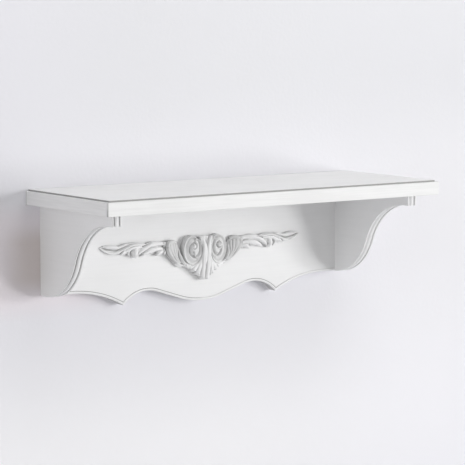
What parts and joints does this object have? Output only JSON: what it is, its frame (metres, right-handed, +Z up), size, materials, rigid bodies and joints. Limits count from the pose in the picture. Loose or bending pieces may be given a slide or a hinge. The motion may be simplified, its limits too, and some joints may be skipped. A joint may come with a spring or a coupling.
{
  "type": "wall shelf with brackets",
  "caption": "White wall shelf with scrolled side brackets, a scalloped apron and a carved, applied scroll-and-leaf ornament, hung on keyhole plates.",
  "frame": {"origin": "on the wall plane, midway between the round entries of the two keyhole hanger plates", "axes": "+X to the right along the wall as seen from the room, +Y into the wall, +Z up"},
  "size_m": [0.8, 0.3, 0.2477],
  "materials": {
    "white_enamel": "white satin enamel on moulded board, grey glaze left in quirks and along edges",
    "antiqued_enamel": "white satin enamel with grey glaze wiped into the carving",
    "beech": "bare turned beech",
    "zinc_plate": "bright zinc plate"
  },
  "bodies": {
    "root": {"shelf_board": "white_enamel", "left_bracket": "white_enamel", "right_bracket": "white_enamel", "apron": "white_enamel", "centrepiece": "antiqued_enamel", "left_spray": "antiqued_enamel", "right_spray": "antiqued_enamel", "left_bracket_dowels": "beech", "right_bracket_dowels": "beech", "left_end_dowels": "beech", "right_end_dowels": "beech", "apron_dowels": "beech", "left_hanger_plate": "zinc_plate", "right_hanger_plate": "zinc_plate", "hanger_screws": "zinc_plate", "ornament_pins": "zinc_plate"}
  },
  "joints": []
}
